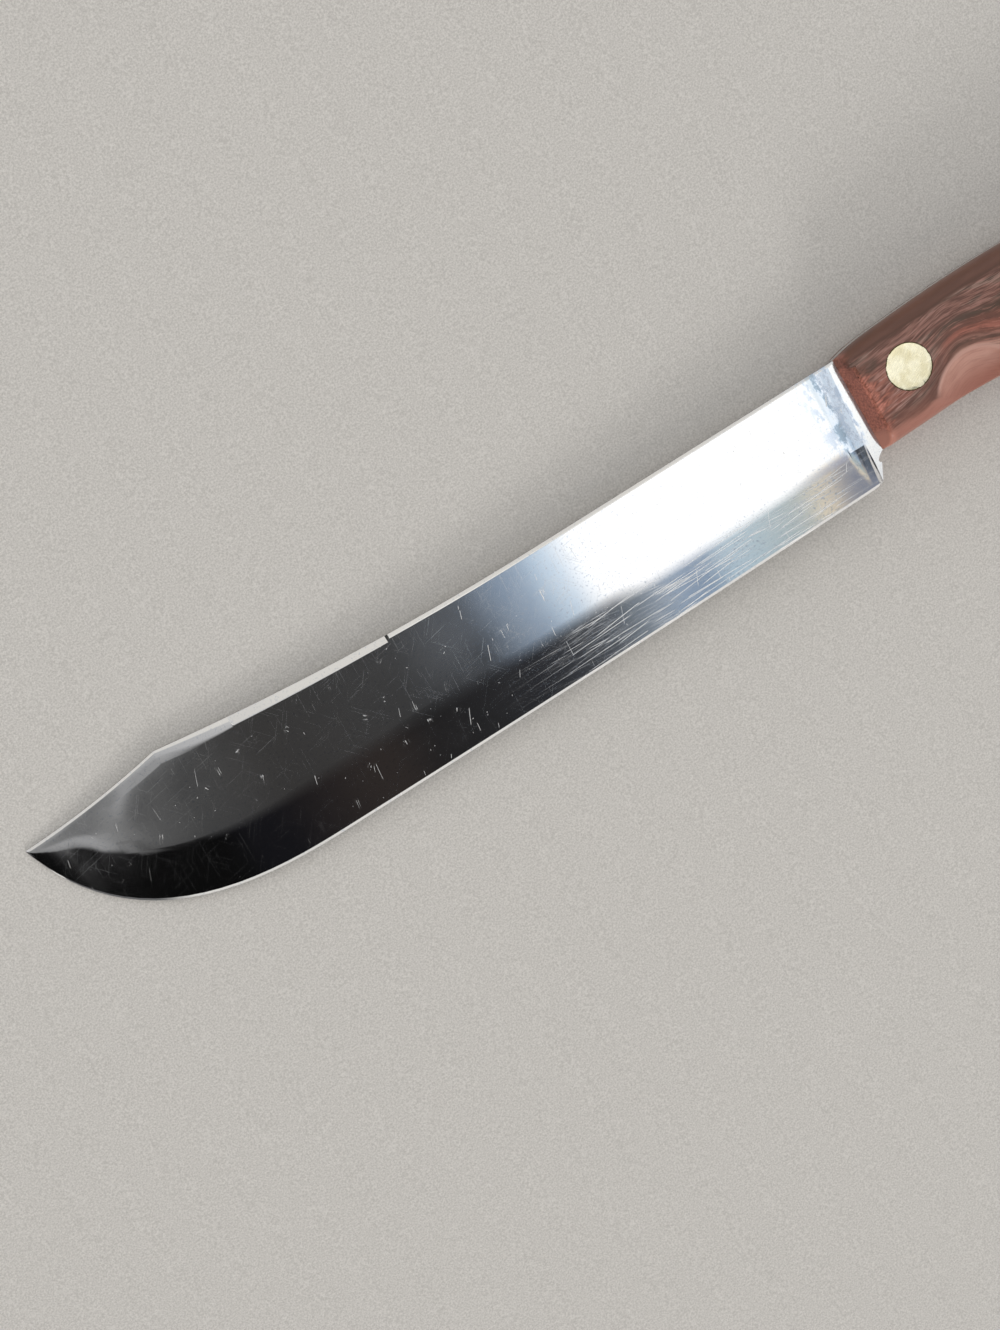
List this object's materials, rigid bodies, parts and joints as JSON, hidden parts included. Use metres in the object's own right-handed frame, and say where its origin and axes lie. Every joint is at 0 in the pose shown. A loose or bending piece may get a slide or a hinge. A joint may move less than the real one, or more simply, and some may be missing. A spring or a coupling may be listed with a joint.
{
  "type": "butcher knife",
  "caption": "Butcher knife with a swept clip-point blade, ground bevel and swedge, full tang, contoured laminated wood scales and flush brass rivets.",
  "frame": {"origin": "under the middle of the knife's bounding box, on the plane that the right side of the handle lies on", "axes": "+X from the point to the butt, +Y from the cutting edge to the spine, +Z out of the left side of the blade"},
  "size_m": [0.3838, 0.0462, 0.0203],
  "materials": {
    "polished_steel": "mirror polished, with fine scratches from use",
    "laminated_wood": "resin-filled dyed laminate, semi-gloss",
    "brass": "ground flush and buffed"
  },
  "bodies": {
    "root": {"blade": "polished_steel", "left_scale": "laminated_wood", "right_scale": "laminated_wood", "front_rivet_socket": "brass", "front_rivet_pin": "brass", "middle_rivet_socket": "brass", "middle_rivet_pin": "brass", "rear_rivet_socket": "brass", "rear_rivet_pin": "brass"}
  },
  "joints": []
}
